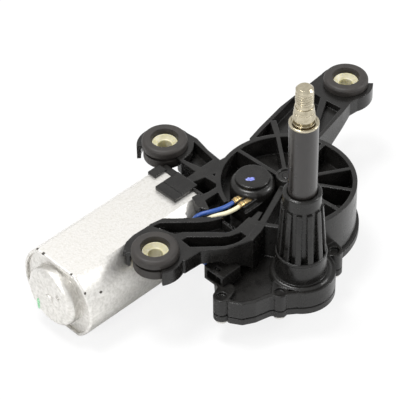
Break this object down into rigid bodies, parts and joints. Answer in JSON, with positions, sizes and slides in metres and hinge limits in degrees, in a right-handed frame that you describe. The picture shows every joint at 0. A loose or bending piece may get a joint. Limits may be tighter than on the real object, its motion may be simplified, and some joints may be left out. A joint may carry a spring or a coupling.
{
  "type": "wiper motor",
  "caption": "Rear wiper motor with a round steel motor can, a ribbed black gear housing on rubber-mounted arms and a tall threaded output spindle.",
  "frame": {"origin": "where the spindle axis crosses the seat of the collar at the top of the finned tower", "axes": "+Z along the output spindle towards its threaded end; +X along the motor axis, from the rear of the can to its front"},
  "size_m": [0.2019, 0.1236, 0.1343],
  "materials": {
    "black_plastic": "satin",
    "cover_plastic": "satin",
    "zinc_steel": "satin",
    "plain_steel": "satin",
    "bronze": "satin",
    "copper": "satin",
    "brass": "satin",
    "ferrite": "matte",
    "carbon": "matte",
    "lamination": "satin",
    "rubber": "matte",
    "cream_plastic": "satin",
    "white_plastic": "satin",
    "seal": "matte",
    "coated_steel": "satin",
    "blue_sheath": "satin",
    "cream_sheath": "satin",
    "tinned": "satin"
  },
  "bodies": {
    "housing": {"gear_housing": "black_plastic", "gear_cover": "cover_plastic", "cover_gasket": "seal", "cover_screws": "zinc_steel", "motor_can": "zinc_steel", "end_bell": "zinc_steel", "magnets": "ferrite", "magnet_clips": "plain_steel", "rear_bearing": "bronze", "thrust_pad": "plain_steel", "front_bearing": "bronze", "brush_card": "white_plastic", "brushes": "carbon", "brush_springs": "plain_steel", "wheel_axle": "plain_steel", "spindle_sleeve": "coated_steel", "spindle_bushes": "bronze", "sleeve_cap": "zinc_steel", "park_switch_cap": "black_plastic", "crimp_terminals": "brass", "park_contacts": "brass", "connector_socket": "black_plastic", "connector_pins": "tinned", "blue_lead": "blue_sheath", "cream_lead": "cream_sheath", "grommet_1": "rubber", "spacer_bush_1": "cream_plastic", "grommet_2": "rubber", "spacer_bush_2": "cream_plastic", "grommet_3": "rubber", "spacer_bush_3": "cream_plastic"},
    "armature": {"armature_shaft": "plain_steel", "armature_core": "lamination", "armature_windings": "copper", "commutator": "copper", "worm": "plain_steel"},
    "wheel": {"worm_wheel": "white_plastic", "contact_disc": "brass", "crank_pin": "plain_steel"},
    "rocker": {"rocker_plate": "plain_steel", "pivot_pin": "plain_steel"},
    "link": {"sector_link": "plain_steel"},
    "spindle": {"output_spindle": "zinc_steel", "spindle_pinion": "plain_steel", "retaining_ring": "zinc_steel"}
  },
  "joints": [
    {"name": "armature_spin", "type": "hinge", "parent": "housing", "child": "armature", "pos_m": [-0.009, 0.071, -0.0537], "axis": [-1, 0, 0], "range_deg": [0, 9471.86]},
    {"name": "wheel_turn", "type": "hinge", "parent": "housing", "child": "wheel", "pos_m": [0.0264, 0.035, -0.0537], "axis": [0, 0, -1], "range_deg": [0, 175.41]},
    {"name": "rocker_swing", "type": "hinge", "parent": "housing", "child": "rocker", "pos_m": [0, 0, -0.0571], "axis": [0, 0, 1], "range_deg": [0, 38.51]},
    {"name": "link_turn", "type": "hinge", "parent": "rocker", "child": "link", "pos_m": [-0.00855, 0.01753, -0.0617], "axis": [0, 0, -1], "range_deg": [0, 33.91]},
    {"name": "spindle_swing", "type": "hinge", "parent": "housing", "child": "spindle", "pos_m": [0, 0, 0], "axis": [0, 0, 1], "range_deg": [0, 106.32]}
  ],
  "couplings": [
    {"joint": "wheel_turn", "follows": "armature_spin", "ratio": 0.018519},
    {"joint": "rocker_swing", "follows": "armature_spin", "ratio": 0.0040647},
    {"joint": "link_turn", "follows": "armature_spin", "ratio": 0.0035795},
    {"joint": "spindle_swing", "follows": "armature_spin", "ratio": 0.011224}
  ]
}
